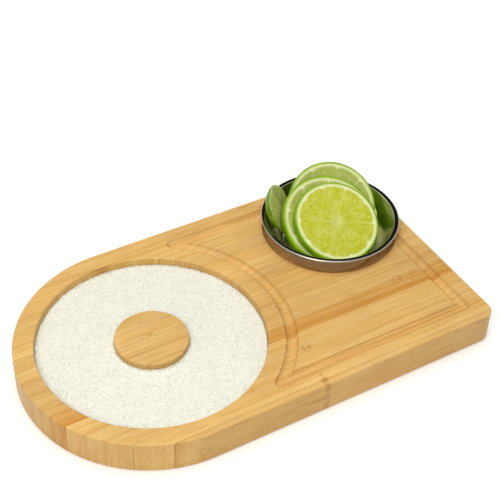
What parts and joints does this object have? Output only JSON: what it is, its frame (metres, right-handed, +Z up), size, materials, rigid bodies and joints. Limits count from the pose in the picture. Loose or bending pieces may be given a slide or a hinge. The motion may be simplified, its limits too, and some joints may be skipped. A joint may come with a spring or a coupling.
{
  "type": "cocktail glass rimmer",
  "caption": "Bamboo rimming board with a round and a square end, a ring-shaped salt well, a juice groove and a round seat holding a steel sauce dish with cut limes.",
  "frame": {"origin": "middle of the board's footprint, on its underside", "axes": "+X towards the square end, +Y towards the long edge beside the dish, +Z up"},
  "size_m": [0.254, 0.15, 0.0476],
  "materials": {
    "bamboo": "laminated bamboo, sanded and oiled, satin",
    "salt": "coarse white salt, matte and grainy",
    "steel": "pressed stainless steel, polished",
    "lime_flesh": "wet cut lime flesh with a green rind",
    "lime_rind": "smooth waxy green lime rind"
  },
  "bodies": {
    "board": {"strip_01": "bamboo", "strip_02": "bamboo", "strip_03": "bamboo", "strip_04": "bamboo", "strip_05": "bamboo", "strip_06": "bamboo", "strip_07": "bamboo", "strip_08": "bamboo", "strip_09": "bamboo", "strip_10": "bamboo", "strip_11": "bamboo", "strip_12": "bamboo", "strip_13": "bamboo", "strip_14": "bamboo", "strip_15": "bamboo", "strip_16": "bamboo", "strip_17": "bamboo", "strip_18": "bamboo", "salt_bed": "salt"},
    "dish": {"sauce_dish": "steel"},
    "back_slice": {"lime_slice_back": "lime_flesh"},
    "middle_slice": {"lime_slice_middle": "lime_flesh"},
    "front_slice": {"lime_slice_front": "lime_flesh"},
    "wedge": {"lime_wedge": "lime_rind"}
  },
  "joints": [
    {"name": "dish_lift", "type": "slide", "parent": "board", "child": "dish", "axis": [0, 0, 1], "range_m": [0, 0.04]},
    {"name": "back_slice_lift", "type": "slide", "parent": "dish", "child": "back_slice", "axis": [0, 0, 1], "range_m": [0, 0.035]},
    {"name": "middle_slice_lift", "type": "slide", "parent": "back_slice", "child": "middle_slice", "axis": [0, 0, 1], "range_m": [0, 0.04]},
    {"name": "front_slice_lift", "type": "slide", "parent": "middle_slice", "child": "front_slice", "axis": [0, 0, 1], "range_m": [0, 0.035]},
    {"name": "wedge_lift", "type": "slide", "parent": "dish", "child": "wedge", "axis": [-0.3866, 0.2416, 0.89], "range_m": [0, 0.035]}
  ]
}
